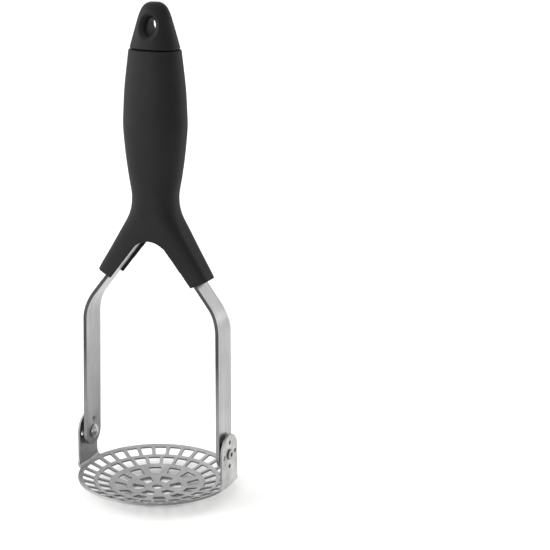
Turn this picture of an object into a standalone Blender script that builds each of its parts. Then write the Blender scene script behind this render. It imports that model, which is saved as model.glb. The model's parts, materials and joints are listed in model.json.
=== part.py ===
"""Folding potato ricer: a dished, perforated press plate that turns between two steel arms,
and a moulded grip with a forked yoke that carries the arms.

Metres, +Z up along the grip. The origin is under the middle of the dish, at its lowest point.
The hinge runs along X. At rest the plate is square to the grip, ready to press.
"""

from math import acos, asin, cos, pi, radians, sin, sqrt, tan

import bmesh
import bpy
from mathutils import Matrix, Vector

MM = 0.001
CLEARANCE = 0.3 * MM            # gap between pieces that seat on each other

# Press plate
RIM_RADIUS = 44.0 * MM
DISH_DEPTH = 8.7 * MM
SHEET = 1.2 * MM                # thickness of the pressed steel sheet
RING_STEPS = 72                 # straight segments round the dish
DISH_RADII_STEP = 6.0 * MM      # longest step between the dish's mesh rings

HOLE_LENGTH = 6.3 * MM          # radial length of every ring hole
HOLE_RINGS = (                  # (holes in the ring, middle radius, width across the hole)
    (6, 10.4 * MM, 6.0 * MM),
    (12, 20.4 * MM, 6.4 * MM),
    (24, 30.0 * MM, 6.1 * MM),
    (30, 38.5 * MM, 6.0 * MM),
)
CENTRE_HOLE_RADIUS = 2.8 * MM

# Tabs that stand up at both ends of the plate
TAB_WIDTH = 20.0 * MM
TAB_BASE_WIDTH = 22.6 * MM      # the tab flares into the rim
TAB_BEND_RADIUS = 2.0 * MM      # inside radius of the fold
TAB_FLARE_HEIGHT = 4.5 * MM
TAB_FOLD_SHARE = 0.4            # share of the narrowing that lies inside the fold
TAB_SPARE = 5.0 * MM            # sheet above the tab's top, trimmed away
HINGE_ABOVE_RIM = 18.5 * MM
TAB_TOP_CENTRE_ABOVE_HINGE = 1.5 * MM
DETENT_RADIUS = 6.9 * MM        # distance of the catch holes from the hinge
DETENT_HOLE_RADIUS = 1.25 * MM
DETENT_COUNT = 4

# Arms
ARM_THICKNESS = 2.0 * MM
ARM_WIDTH = 16.0 * MM
TANG_WIDTH = 13.0 * MM          # width of the strip above its lower bend
ARM_SPLAY = radians(0.75)       # the arms spring outwards against the tabs
ARM_BEND_RADIUS = 24.0 * MM
ARM_SLANT = radians(37.6)       # slope of the strip inside the yoke, from vertical
TANG_BEND_RADIUS = 7.0 * MM
TANG_BEND_STEPS = 4
TANG_OFFSET = 2.6 * MM          # inner face of each tang from the middle plane
TANG_BEND_ABOVE_LEG_END = 30.62736 * MM   # puts the arm's bend 77.2 mm above the hinge
TANG_TOP_ABOVE_LEG_END = 63.8 * MM
TAB_GAP = 1.5 * MM              # between an arm and its tab, filled by the washer
DIMPLE_RADIUS = 1.9 * MM
DIMPLE_HEIGHT = 1.1 * MM

# Rivets and washers
RIVET_SHANK_RADIUS = 2.0 * MM
RIVET_BORE_CLEARANCE = 0.3 * MM
RIVET_HEAD_RADIUS = 4.0 * MM
RIVET_HEAD_HEIGHT = 1.8 * MM
RIVET_ROLL_RADIUS = 3.1 * MM    # rolled-over outer end
RIVET_ROLL_HEIGHT = 0.9 * MM
RIVET_HOLLOW_RADIUS = 1.2 * MM
RIVET_HOLLOW_DEPTH = 3.0 * MM
WASHER_RADIUS = 4.9 * MM

# Grip: sections as (height above the inner corners of the legs' ends, half width, half depth,
# squareness). The fork's half depths are the strip's own and the plastic beside it
GRIP_SECTIONS = (
    (-7.2 * MM, 38.9 * MM, TANG_WIDTH / 2 + 1.1 * MM, 6.5),
    (5.3 * MM, 32.3 * MM, TANG_WIDTH / 2 + 1.5 * MM, 6.5),
    (16.8 * MM, 25.2 * MM, TANG_WIDTH / 2 + 2.2 * MM, 6.0),
    (26.5 * MM, 19.4 * MM, 9.5 * MM, 5.0),
    (35.4 * MM, 14.5 * MM, 10.1 * MM, 3.6),
    (39.8 * MM, 13.1 * MM, 10.2 * MM, 3.0),
    (44.3 * MM, 12.6 * MM, 10.2 * MM, 2.7),
    (48.8 * MM, 12.7 * MM, 10.3 * MM, 2.6),
    (57.5 * MM, 14.3 * MM, 11.1 * MM, 2.5),
    (68.5 * MM, 15.8 * MM, 12.2 * MM, 2.5),
    (79.3 * MM, 16.9 * MM, 12.9 * MM, 2.5),
    (85.9 * MM, 17.3 * MM, 13.2 * MM, 2.5),
    (92.4 * MM, 17.1 * MM, 13.1 * MM, 2.5),
    (105.2 * MM, 16.4 * MM, 12.6 * MM, 2.5),
    (118.0 * MM, 15.0 * MM, 11.6 * MM, 2.5),
    (126.2 * MM, 14.0 * MM, 10.9 * MM, 2.5),
)
SECTION_POINTS = 40
HOLE_SEGMENTS = 24
GRIP_STEP = 5.0 * MM            # height of one band of the grip's mesh
YOKE_RECESS = 1.5 * MM          # the strip lies this far inside the legs' open channel
YOKE_ARCH_RADIUS = 12.7 * MM
LEG_END_ABOVE_HINGE = 94.2 * MM  # inner corner of each leg's end
LEG_END_TILT = radians(25.0)
SOCKET_DEPTH = 14.0 * MM

# End cap: sections above the parting line, with the same meaning as the grip's.
# The first lies 0.5 mm inside the grip's last, which leaves a small step at the parting line
PARTING_GAP = 0.5 * MM
CAP_SECTIONS = (
    (0.0 * MM, 13.5 * MM, 10.4 * MM, 2.5),
    (4.5 * MM, 12.3 * MM, 9.8 * MM, 2.4),
    (9.0 * MM, 11.05 * MM, 9.1 * MM, 2.3),
    (13.0 * MM, 9.95 * MM, 8.4 * MM, 2.2),
    (17.0 * MM, 8.8 * MM, 7.5 * MM, 2.1),
    (20.0 * MM, 7.6 * MM, 6.6 * MM, 2.0),
    (22.2 * MM, 6.1 * MM, 5.3 * MM, 2.0),
    (23.6 * MM, 4.2 * MM, 3.7 * MM, 2.0),
    (24.1 * MM, 2.6 * MM, 2.3 * MM, 2.0),
)
CAP_STEP = 1.2 * MM             # height of one band of the cap's mesh
SPIGOT_HALF_WIDTH = 7.0 * MM
SPIGOT_HALF_DEPTH = 5.0 * MM
SPIGOT_LENGTH = 12.0 * MM
HANGING_HOLE_HEIGHT = 11.7 * MM  # above the parting line
HANGING_HOLE_HALF_WIDTH = 2.7 * MM   # of the narrow middle
HANGING_HOLE_HALF_HEIGHT = 4.2 * MM
HANGING_HOLE_FLARE = 4.2 * MM    # radius of the rounding at both mouths
HANGING_HOLE_TURN = radians(75)  # how far the rounding turns before it meets the cap's face

# Places that follow from the sizes above
RIM_Z = DISH_DEPTH + SHEET
HINGE_Z = RIM_Z + HINGE_ABOVE_RIM
LEG_END_Z = HINGE_Z + LEG_END_ABOVE_HINGE
DISH_SPHERE = (RIM_RADIUS**2 + DISH_DEPTH**2) / (2 * DISH_DEPTH)
TAB_FOLD_X = sqrt(RIM_RADIUS**2 - (TAB_BASE_WIDTH / 2) ** 2)
RIM_SLOPE = asin(TAB_FOLD_X / DISH_SPHERE)
TAB_INNER_X = TAB_FOLD_X + TAB_BEND_RADIUS * (1 - sin(RIM_SLOPE))
TAB_OUTER_X = TAB_INNER_X + SHEET
TAB_TOP_CENTRE_Z = HINGE_Z + TAB_TOP_CENTRE_ABOVE_HINGE
TAB_TOP_Z = TAB_TOP_CENTRE_Z + TAB_WIDTH / 2
ARM_OUTER_X = TAB_INNER_X - TAB_GAP
ARM_INNER_X = ARM_OUTER_X - ARM_THICKNESS
TANG_BEND_Z = LEG_END_Z + TANG_BEND_ABOVE_LEG_END
TANG_TOP_Z = LEG_END_Z + TANG_TOP_ABOVE_LEG_END
# the slanted stretch runs down from the grip until it meets the arm, however far out that stands
SLANT_REACH = TANG_OFFSET + (TANG_BEND_Z - HINGE_Z) * tan(ARM_SLANT) - ARM_INNER_X
ARM_BEND_ABOVE_HINGE = SLANT_REACH / (tan(ARM_SLANT) - tan(ARM_SPLAY))
ARM_BEND_Z = HINGE_Z + ARM_BEND_ABOVE_HINGE
ARM_BEND_X = ARM_INNER_X - ARM_BEND_ABOVE_HINGE * tan(ARM_SPLAY)
GRIP_TOP_Z = LEG_END_Z + GRIP_SECTIONS[-1][0]
CAP_BASE_Z = GRIP_TOP_Z + PARTING_GAP

SMOOTH_ANGLE = radians(35)


# ---------------------------------------------------------------- scene helpers

def clear_scene():
    for item in list(bpy.data.objects):
        bpy.data.objects.remove(item, do_unlink=True)


def new_collection(name):
    collection = bpy.data.collections.new(name)
    bpy.context.scene.collection.children.link(collection)
    return collection


def make_material(name, colour, roughness, metallic):
    material = bpy.data.materials.new(name)
    material.use_nodes = True
    shader = material.node_tree.nodes["Principled BSDF"]
    shader.inputs["Base Color"].default_value = (*colour, 1.0)
    shader.inputs["Roughness"].default_value = roughness
    shader.inputs["Metallic"].default_value = metallic
    material.diffuse_color = (*colour, 1.0)
    return material


def mesh_object(name, bm, collection):
    bmesh.ops.recalc_face_normals(bm, faces=bm.faces)
    mesh = bpy.data.meshes.new(name)
    bm.to_mesh(mesh)
    bm.free()
    piece = bpy.data.objects.new(name, mesh)
    collection.objects.link(piece)
    return piece


def finish(piece, material):
    piece.data.materials.clear()
    piece.data.materials.append(material)
    piece.data.shade_smooth()
    piece.data.set_sharp_from_angle(angle=SMOOTH_ANGLE)
    return piece


def hide_cutter(piece):
    piece.hide_render = True
    piece.display_type = "WIRE"
    return piece


def boolean(piece, other, operation="DIFFERENCE"):
    modifier = piece.modifiers.new(operation.lower(), "BOOLEAN")
    modifier.operation = operation
    modifier.solver = "EXACT"
    modifier.object = other
    return modifier


def flat_outlines(name, outlines, depth, placement, cutters):
    """A cutter: closed outlines in the XY plane, extruded by depth both ways and then placed."""
    curve = bpy.data.curves.new(name, "CURVE")
    curve.dimensions = "2D"
    curve.fill_mode = "BOTH"
    curve.extrude = depth
    for outline in outlines:
        spline = curve.splines.new("POLY")
        spline.points.add(len(outline) - 1)
        for point, (x, y) in zip(spline.points, outline):
            point.co = (x, y, 0.0, 1.0)
        spline.use_cyclic_u = True
    source = bpy.data.objects.new(name + "_outline", curve)
    cutters.objects.link(source)
    evaluated = source.evaluated_get(bpy.context.evaluated_depsgraph_get())
    mesh = bpy.data.meshes.new_from_object(evaluated)
    bpy.data.objects.remove(source, do_unlink=True)
    bm = bmesh.new()
    bm.from_mesh(mesh)
    bmesh.ops.remove_doubles(bm, verts=bm.verts, dist=0.00001)
    bmesh.ops.transform(bm, matrix=placement, verts=bm.verts)
    return hide_cutter(mesh_object(name, bm, cutters))


def arc_points(centre, radius, start, end, steps):
    points = []
    for step in range(steps + 1):
        angle = start + (end - start) * step / steps
        points.append((centre[0] + radius * cos(angle), centre[1] + radius * sin(angle)))
    return points


# Turns a drawing plane (x, y) into the world's (x, z), or into its (y, z)
FRONT_PLANE = Matrix(((1, 0, 0, 0), (0, 0, -1, 0), (0, 1, 0, 0), (0, 0, 0, 1)))
SIDE_PLANE = Matrix(((0, 0, 1, 0), (1, 0, 0, 0), (0, 1, 0, 0), (0, 0, 0, 1)))


# ---------------------------------------------------------------- press plate

def dish_height(radius):
    """Height of the dish's upper face at a radius from the middle."""
    return RIM_Z + (DISH_SPHERE - DISH_DEPTH) - sqrt(DISH_SPHERE**2 - min(radius, RIM_RADIUS) ** 2)


def dish_rings(bm):
    """The open upper face of the dish: a middle point and rings out to the rim."""
    count = int(RIM_RADIUS / DISH_RADII_STEP) + 1
    rings = []
    for ring in range(1, count + 1):
        radius = RIM_RADIUS * ring / count
        verts = []
        for step in range(RING_STEPS):
            angle = 2 * pi * step / RING_STEPS
            verts.append(bm.verts.new((radius * cos(angle), radius * sin(angle), dish_height(radius))))
        rings.append(verts)
    middle = bm.verts.new((0, 0, dish_height(0)))
    for step in range(RING_STEPS):
        following = (step + 1) % RING_STEPS
        bm.faces.new((middle, rings[0][step], rings[0][following]))
        for inner, outer in zip(rings, rings[1:]):
            bm.faces.new((inner[step], outer[step], outer[following], inner[following]))
    return rings[-1]


def tab_rows(side):
    """Rows of points up one tab, from just above the rim: the fold, the flare and the flat."""
    rows = []
    fold_steps = 4
    for step in range(1, fold_steps + 1):
        angle = RIM_SLOPE + (pi / 2 - RIM_SLOPE) * step / fold_steps
        out = TAB_FOLD_X + TAB_BEND_RADIUS * (sin(angle) - sin(RIM_SLOPE))
        rise = TAB_BEND_RADIUS * (cos(RIM_SLOPE) - cos(angle))
        width = TAB_BASE_WIDTH - TAB_FOLD_SHARE * (TAB_BASE_WIDTH - TAB_WIDTH) * step / fold_steps
        rows.append((side * out, rise, width))
    rows.append((side * TAB_INNER_X, TAB_FLARE_HEIGHT, TAB_WIDTH))
    rows.append((side * TAB_INNER_X, TAB_TOP_Z + TAB_SPARE - RIM_Z, TAB_WIDTH))
    return rows


def raise_tab(bm, rim, side):
    """Straightens the rim into a fold line and carries the sheet up from it."""
    half = asin(TAB_BASE_WIDTH / 2 / RIM_RADIUS)
    columns = round(half / (2 * pi / RING_STEPS))
    middle = 0 if side > 0 else RING_STEPS // 2
    base = [rim[(middle + side * offset) % RING_STEPS] for offset in range(-columns, columns + 1)]
    for index, vert in enumerate(base):
        across = (index / columns - 1) * TAB_BASE_WIDTH / 2
        vert.co = Vector((side * TAB_FOLD_X, across, dish_height(sqrt(TAB_FOLD_X**2 + across**2))))
    lower = base
    for x, rise, width in tab_rows(side):
        upper = []
        for index, vert in enumerate(base):
            across = (index / columns - 1) * width / 2
            start = vert.co.z if rise < TAB_FLARE_HEIGHT else RIM_Z
            upper.append(bm.verts.new((x, across, start + rise)))
        for index in range(2 * columns):
            face = (lower[index], lower[index + 1], upper[index + 1], upper[index])
            bm.faces.new(face if side < 0 else face[::-1])
        lower = upper


def ring_hole(middle_angle, radius, width):
    """Outline of one hole: two radial sides between two short arcs."""
    half = width / 2 / radius
    inner = arc_points((0, 0), radius - HOLE_LENGTH / 2, middle_angle - half, middle_angle + half, 1)
    outer = arc_points((0, 0), radius + HOLE_LENGTH / 2, middle_angle + half, middle_angle - half, 1)
    return inner + outer


def plate_holes():
    outlines = [arc_points((0, 0), CENTRE_HOLE_RADIUS, 0, 2 * pi * 11 / 12, 11)]
    for count, radius, width in HOLE_RINGS:
        for step in range(count):
            outlines.append(ring_hole(pi / 2 + 2 * pi * step / count, radius, width))
    return outlines


def tab_trim():
    """Everything outside the rounded top of a tab, drawn in the YZ plane."""
    half = TAB_WIDTH / 2
    spare = TAB_WIDTH
    outline = arc_points((0, TAB_TOP_CENTRE_Z), half, pi, 0, 20)
    outline += [(half + spare, TAB_TOP_CENTRE_Z), (half + spare, TAB_TOP_Z + spare)]
    outline += [(-half - spare, TAB_TOP_Z + spare), (-half - spare, TAB_TOP_CENTRE_Z)]
    return outline


def tab_holes():
    outlines = [arc_points((0, HINGE_Z), RIVET_SHANK_RADIUS + RIVET_BORE_CLEARANCE, 0, 2 * pi * 15 / 16, 15)]
    for step in range(DETENT_COUNT):
        angle = 2 * pi * step / DETENT_COUNT
        centre = (DETENT_RADIUS * cos(angle), HINGE_Z + DETENT_RADIUS * sin(angle))
        outlines.append(arc_points(centre, DETENT_HOLE_RADIUS, 0, 2 * pi * 9 / 10, 9))
    return outlines


def build_press_plate(parts, cutters, steel, hinge):
    bm = bmesh.new()
    rim = dish_rings(bm)
    for side in (1, -1):
        raise_tab(bm, rim, side)
    mesh = bpy.data.meshes.new("press_plate")
    bm.to_mesh(mesh)
    bm.free()
    plate = bpy.data.objects.new("press_plate", mesh)
    parts.objects.link(plate)

    solid = plate.modifiers.new("sheet", "SOLIDIFY")
    solid.thickness = SHEET
    solid.offset = -1.0
    solid.use_even_offset = True

    through = TAB_OUTER_X + ARM_THICKNESS
    drop = Matrix.Translation((0, 0, RIM_Z / 2))
    boolean(plate, flat_outlines("cut_plate_holes", plate_holes(), RIM_Z, drop, cutters))
    tab_cuts = [tab_trim()] + tab_holes()
    boolean(plate, flat_outlines("cut_tabs", tab_cuts, through, SIDE_PLANE, cutters))
    finish(plate, steel)
    hang_on_hinge(plate, hinge)
    return plate


def hang_on_hinge(piece, hinge):
    """Makes the hinge empty the piece's parent without moving the piece."""
    piece.parent = hinge
    piece.matrix_parent_inverse = Matrix.Translation(-hinge.location)


# ---------------------------------------------------------------- arms

def rounded_corner(before, corner, after, radius, steps):
    """Points of an arc of the radius that rounds a corner of a path in the XZ plane."""
    into = (corner - before).normalized()
    out = (after - corner).normalized()
    turn = acos(max(-1.0, min(1.0, into.dot(out))))
    reach = radius * tan(turn / 2)
    start = corner - into * reach
    side = Vector((-into.y, into.x))
    if side.dot(out) < 0:
        side = -side
    centre = start + side * radius
    points = []
    for step in range(steps + 1):
        angle = turn * step / steps
        points.append(centre - side * radius * cos(angle) + into * radius * sin(angle))
    return points


def strip_path():
    """The inner face of the +X arm as (x, z) points with a half width for each, from the bottom up."""
    foot = Vector((ARM_INNER_X + ARM_WIDTH / 2 * tan(ARM_SPLAY), HINGE_Z - ARM_WIDTH / 2))
    bend = Vector((ARM_BEND_X, ARM_BEND_Z))
    tang = Vector((TANG_OFFSET, TANG_BEND_Z))
    top = Vector((TANG_OFFSET, TANG_TOP_Z))
    climb = (bend - foot).normalized()
    path = []
    end_steps = 8
    for step in range(1, end_steps + 1):
        angle = pi / 2 * step / end_steps
        along = ARM_WIDTH / 2 * (1 - cos(angle))
        path.append((foot + climb * along, ARM_WIDTH / 2 * sin(angle)))
    lower = rounded_corner(foot, bend, tang, ARM_BEND_RADIUS, 6)
    for index, point in enumerate(lower):
        share = index / (len(lower) - 1)
        path.append((point, (ARM_WIDTH + (TANG_WIDTH - ARM_WIDTH) * share) / 2))
    for point in rounded_corner(bend, tang, top, TANG_BEND_RADIUS, TANG_BEND_STEPS):
        path.append((point, TANG_WIDTH / 2))
    path.append((top, TANG_WIDTH / 2))
    return path


def strip_normals(points):
    """Unit normals of a path, pointing to the strip's outer face."""
    normals = []
    for index in range(len(points)):
        before = points[max(index - 1, 0)]
        after = points[min(index + 1, len(points) - 1)]
        along = (after - before).normalized()
        normals.append(Vector((along.y, -along.x)))
    return normals


def strip_solid(name, path, inward, outward, widen, collection):
    """A bar that follows a path: its faces lie inward and outward of the path by these amounts."""
    points = [point for point, _ in path]
    bm = bmesh.new()
    rows = []
    for (point, half), normal in zip(path, strip_normals(points)):
        row = []
        for offset, across in ((-inward, -1), (-inward, 1), (outward, 1), (outward, -1)):
            place = point + normal * offset
            row.append(bm.verts.new((place.x, across * (half + widen), place.y)))
        rows.append(row)
    for lower, upper in zip(rows, rows[1:]):
        for corner in range(4):
            following = (corner + 1) % 4
            bm.faces.new((lower[corner], lower[following], upper[following], upper[corner]))
    bm.faces.new(rows[0])
    bm.faces.new(rows[-1])
    return mesh_object(name, bm, collection)


def dome(name, centre, radius, collection):
    bm = bmesh.new()
    bmesh.ops.create_uvsphere(bm, u_segments=16, v_segments=10, radius=radius)
    turn = Matrix.Rotation(pi / 2, 4, "Y")
    bmesh.ops.transform(bm, matrix=Matrix.Translation(centre) @ turn, verts=bm.verts)
    return hide_cutter(mesh_object(name, bm, collection))


def rod(name, start_x, end_x, radius, segments, collection):
    """A round bar on the hinge axis between two places on X."""
    bm = bmesh.new()
    bmesh.ops.create_cone(bm, cap_ends=True, segments=segments, radius1=radius, radius2=radius,
                          depth=abs(end_x - start_x))
    place = Matrix.Translation(((start_x + end_x) / 2, 0, HINGE_Z)) @ Matrix.Rotation(pi / 2, 4, "Y")
    bmesh.ops.transform(bm, matrix=place, verts=bm.verts)
    return mesh_object(name, bm, collection)


def mirror_to_left(piece):
    """Moves a piece that was built on +X to the -X side, with its faces still pointing out."""
    bm = bmesh.new()
    bm.from_mesh(piece.data)
    bmesh.ops.transform(bm, matrix=Matrix.Scale(-1, 4, (1, 0, 0)), verts=bm.verts)
    bmesh.ops.recalc_face_normals(bm, faces=bm.faces)
    bm.to_mesh(piece.data)
    bm.free()
    return piece


def on_side(piece, side):
    return piece if side > 0 else mirror_to_left(piece)


def build_arm(side_name, side, parts, cutters, steel):
    arm = strip_solid(side_name + "_arm", strip_path(), 0.0, ARM_THICKNESS, 0.0, parts)
    on_side(arm, side)
    # The catch dimple: pushed out towards the tab, with its hollow on the inner face
    catch_z = HINGE_Z + DETENT_RADIUS
    outer_x = ARM_OUTER_X - DETENT_RADIUS * tan(ARM_SPLAY)
    sink = DIMPLE_RADIUS - DIMPLE_HEIGHT
    bump = dome("dimple_" + side_name, (side * (outer_x - sink), 0, catch_z), DIMPLE_RADIUS, cutters)
    hollow_x = outer_x - ARM_THICKNESS - sink
    hollow = dome("hollow_" + side_name, (side * hollow_x, 0, catch_z), DIMPLE_RADIUS, cutters)
    bore = rod("bore_arm_" + side_name, side * (ARM_INNER_X - ARM_WIDTH), side * (ARM_OUTER_X + TAB_GAP),
               RIVET_SHANK_RADIUS + RIVET_BORE_CLEARANCE, 16, cutters)
    boolean(arm, bump, "UNION")
    boolean(arm, hollow)
    boolean(arm, hide_cutter(bore))
    return finish(arm, steel)


# ---------------------------------------------------------------- rivets and washers

def build_rivet(side_name, side, parts, steel):
    """A semi-tubular rivet, turned about the hinge: domed head inside, rolled end outside."""
    head_seat = ARM_INNER_X - CLEARANCE
    roll_seat = TAB_OUTER_X + CLEARANCE
    sphere = (RIVET_HEAD_RADIUS**2 + RIVET_HEAD_HEIGHT**2) / (2 * RIVET_HEAD_HEIGHT)
    spread = asin(RIVET_HEAD_RADIUS / sphere)
    profile = []
    for step in range(5):
        angle = spread * step / 4
        profile.append((sphere * sin(angle), head_seat - RIVET_HEAD_HEIGHT + sphere * (1 - cos(angle))))
    profile += [(RIVET_SHANK_RADIUS, head_seat), (RIVET_SHANK_RADIUS, roll_seat)]
    roll = RIVET_ROLL_HEIGHT / 2
    for radius, along in arc_points((RIVET_ROLL_RADIUS - roll, roll_seat + roll), roll, -pi / 2, pi / 2, 6):
        profile.append((radius, along))
    tip = roll_seat + RIVET_ROLL_HEIGHT
    profile += [(RIVET_HOLLOW_RADIUS, tip), (RIVET_HOLLOW_RADIUS, tip - RIVET_HOLLOW_DEPTH)]
    profile.append((0.0, tip - RIVET_HOLLOW_DEPTH))

    bm = bmesh.new()
    verts = [bm.verts.new((along, radius, HINGE_Z)) for radius, along in profile]
    for first, second in zip(verts, verts[1:]):
        bm.edges.new((first, second))
    bmesh.ops.spin(bm, geom=bm.verts[:] + bm.edges[:], cent=(0, 0, HINGE_Z), axis=(1, 0, 0),
                   angle=2 * pi, steps=20, use_merge=True)
    bmesh.ops.remove_doubles(bm, verts=bm.verts, dist=0.000005)
    rivet = mesh_object(side_name + "_rivet", bm, parts)
    return finish(on_side(rivet, side), steel)


def build_washer(side_name, side, parts, cutters, steel):
    inner = side * (ARM_OUTER_X + CLEARANCE)
    outer = side * (TAB_INNER_X - CLEARANCE)
    washer = rod(side_name + "_washer", inner, outer, WASHER_RADIUS, 24, parts)
    bore = rod("bore_washer_" + side_name, inner - side * TAB_GAP, outer + side * TAB_GAP,
               RIVET_SHANK_RADIUS + RIVET_BORE_CLEARANCE, 16, cutters)
    boolean(washer, hide_cutter(bore))
    return finish(washer, steel)


# ---------------------------------------------------------------- grip and end cap

def smooth_section(sections, height):
    """Half width, half depth and squareness at a height, on a smooth curve through the sections."""
    last = len(sections) - 2
    index = 0
    while index < last and sections[index + 1][0] < height:
        index += 1
    low, high = sections[index], sections[index + 1]
    before = sections[max(index - 1, 0)]
    after = sections[min(index + 2, len(sections) - 1)]
    span = high[0] - low[0]
    t = min(max((height - low[0]) / span, 0.0), 1.0)
    values = []
    for item in (1, 2, 3):
        slope_low = (high[item] - before[item]) / (high[0] - before[0]) * span
        slope_high = (after[item] - low[item]) / (after[0] - low[0]) * span
        values.append(low[item] * (2 * t**3 - 3 * t**2 + 1) + slope_low * (t**3 - 2 * t**2 + t)
                      + high[item] * (3 * t**2 - 2 * t**3) + slope_high * (t**3 - t**2))
    return values


def section_ring(bm, half_width, half_depth, squareness, z):
    verts = []
    for step in range(SECTION_POINTS):
        angle = 2 * pi * step / SECTION_POINTS
        c, s = cos(angle), sin(angle)
        reach = (abs(c) ** squareness + abs(s) ** squareness) ** (-1 / squareness)
        verts.append(bm.verts.new((half_width * reach * c, half_depth * reach * s, z)))
    return verts


def loft(name, sections, base_z, step, collection):
    """A closed body through the sections, in level bands."""
    start, end = sections[0][0], sections[-1][0]
    count = round((end - start) / step)
    bm = bmesh.new()
    rings = []
    for index in range(count + 1):
        height = start + (end - start) * index / count
        rings.append(section_ring(bm, *smooth_section(sections, height), base_z + height))
    for lower, upper in zip(rings, rings[1:]):
        for step_index in range(SECTION_POINTS):
            following = (step_index + 1) % SECTION_POINTS
            bm.faces.new((lower[step_index], lower[following], upper[following], upper[step_index]))
    bm.faces.new(rings[0])
    bm.faces.new(rings[-1])
    return mesh_object(name, bm, collection)


def underside_x(z):
    """How far out the open underside of a leg lies at a height."""
    return ARM_BEND_X - (z - ARM_BEND_Z) * tan(ARM_SLANT) - YOKE_RECESS / cos(ARM_SLANT)


def yoke_arch():
    """The space between the legs: an arch that opens downwards along both undersides."""
    peak_z = ARM_BEND_Z + (ARM_BEND_X - YOKE_RECESS / cos(ARM_SLANT)) / tan(ARM_SLANT)
    centre_z = peak_z - YOKE_ARCH_RADIUS / sin(ARM_SLANT)
    foot_z = LEG_END_Z + GRIP_SECTIONS[0][0] - YOKE_ARCH_RADIUS
    outline = arc_points((0, centre_z), YOKE_ARCH_RADIUS, ARM_SLANT, pi - ARM_SLANT, 12)
    outline += [(-underside_x(foot_z), foot_z), (underside_x(foot_z), foot_z)]
    return outline


def leg_end_cut(side):
    """Everything below the squared end of one leg."""
    corner = Vector((underside_x(LEG_END_Z), LEG_END_Z))
    along = Vector((cos(LEG_END_TILT), sin(LEG_END_TILT)))
    down = Vector((along.y, -along.x))
    reach = ARM_BEND_X
    start, end = corner - along * reach / 2, corner + along * reach
    outline = [start, end, end + down * reach, start + down * reach]
    return [(side * point.x, point.y) for point in outline]


def channel_path():
    """The straight stretch of the strip that lies in a leg's open channel."""
    along = Vector((-sin(ARM_SLANT), cos(ARM_SLANT)))
    bend = Vector((ARM_BEND_X, ARM_BEND_Z))
    tang = Vector((TANG_OFFSET, TANG_BEND_Z))
    return [(bend, TANG_WIDTH / 2), (tang - along * TANG_BEND_RADIUS, TANG_WIDTH / 2)]


def build_grip(parts, cutters, plastic):
    grip = loft("grip", GRIP_SECTIONS, LEG_END_Z, GRIP_STEP, parts)
    deep = GRIP_SECTIONS[0][1]
    cuts = [flat_outlines("cut_yoke_arch", [yoke_arch()], deep, FRONT_PLANE, cutters)]
    for side_name, side in (("left", -1), ("right", 1)):
        below = [leg_end_cut(side)]
        cuts.append(flat_outlines("cut_leg_end_" + side_name, below, deep, FRONT_PLANE, cutters))
        slot = strip_solid("cut_tang_slot_" + side_name, tang_path(), CLEARANCE,
                           ARM_THICKNESS + CLEARANCE, CLEARANCE, cutters)
        cuts.append(hide_cutter(on_side(slot, side)))
        channel = strip_solid("cut_channel_" + side_name, channel_path(), 3 * YOKE_RECESS,
                              ARM_THICKNESS + CLEARANCE, CLEARANCE, cutters)
        cuts.append(hide_cutter(on_side(channel, side)))
    socket = oval_bar("cut_cap_socket", SPIGOT_HALF_WIDTH + CLEARANCE, SPIGOT_HALF_DEPTH + CLEARANCE,
                      GRIP_TOP_Z - SOCKET_DEPTH, GRIP_TOP_Z + SOCKET_DEPTH, cutters)
    cuts.append(hide_cutter(socket))
    for cut in cuts:
        boolean(grip, cut)
    return finish(grip, plastic)


def tang_path():
    """The part of the strip's path from its slanted stretch to above its top end."""
    path = strip_path()[-(TANG_BEND_STEPS + 2):]
    lowest = path[0][0]
    along = Vector((sin(ARM_SLANT), -cos(ARM_SLANT)))
    path.insert(0, (lowest + along * TANG_BEND_RADIUS, TANG_WIDTH / 2))
    top, half = path[-1]
    path[-1] = (top + Vector((0, CLEARANCE)), half)
    return path


def oval_bar(name, half_width, half_depth, low_z, high_z, collection):
    bm = bmesh.new()
    bmesh.ops.create_cone(bm, cap_ends=True, segments=24, radius1=1.0, radius2=1.0, depth=high_z - low_z)
    middle = Matrix.Translation((0, 0, (low_z + high_z) / 2))
    place = middle @ Matrix.Diagonal((half_width, half_depth, 1, 1))
    bmesh.ops.transform(bm, matrix=place, verts=bm.verts)
    return mesh_object(name, bm, collection)


def hole_ring(bm, spread, drop):
    """One ring of the hanging hole's front half, this much wider and this far under its mouth."""
    mouth = HANGING_HOLE_FLARE * (1 - cos(HANGING_HOLE_TURN))
    ring = []
    for step in range(HOLE_SEGMENTS):
        c, s = cos(2 * pi * step / HOLE_SEGMENTS), sin(2 * pi * step / HOLE_SEGMENTS)
        mouth_x = abs(c) * (HANGING_HOLE_HALF_WIDTH + mouth)
        mouth_height = HANGING_HOLE_HEIGHT + s * (HANGING_HOLE_HALF_HEIGHT + mouth)
        half_width, half_depth, squareness = smooth_section(CAP_SECTIONS, mouth_height)
        face = half_depth * (1 - (mouth_x / half_width) ** squareness) ** (1 / squareness)
        height = HANGING_HOLE_HEIGHT + s * (HANGING_HOLE_HALF_HEIGHT + spread)
        ring.append(bm.verts.new((c * (HANGING_HOLE_HALF_WIDTH + spread), drop - face, CAP_BASE_Z + height)))
    return ring


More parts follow.
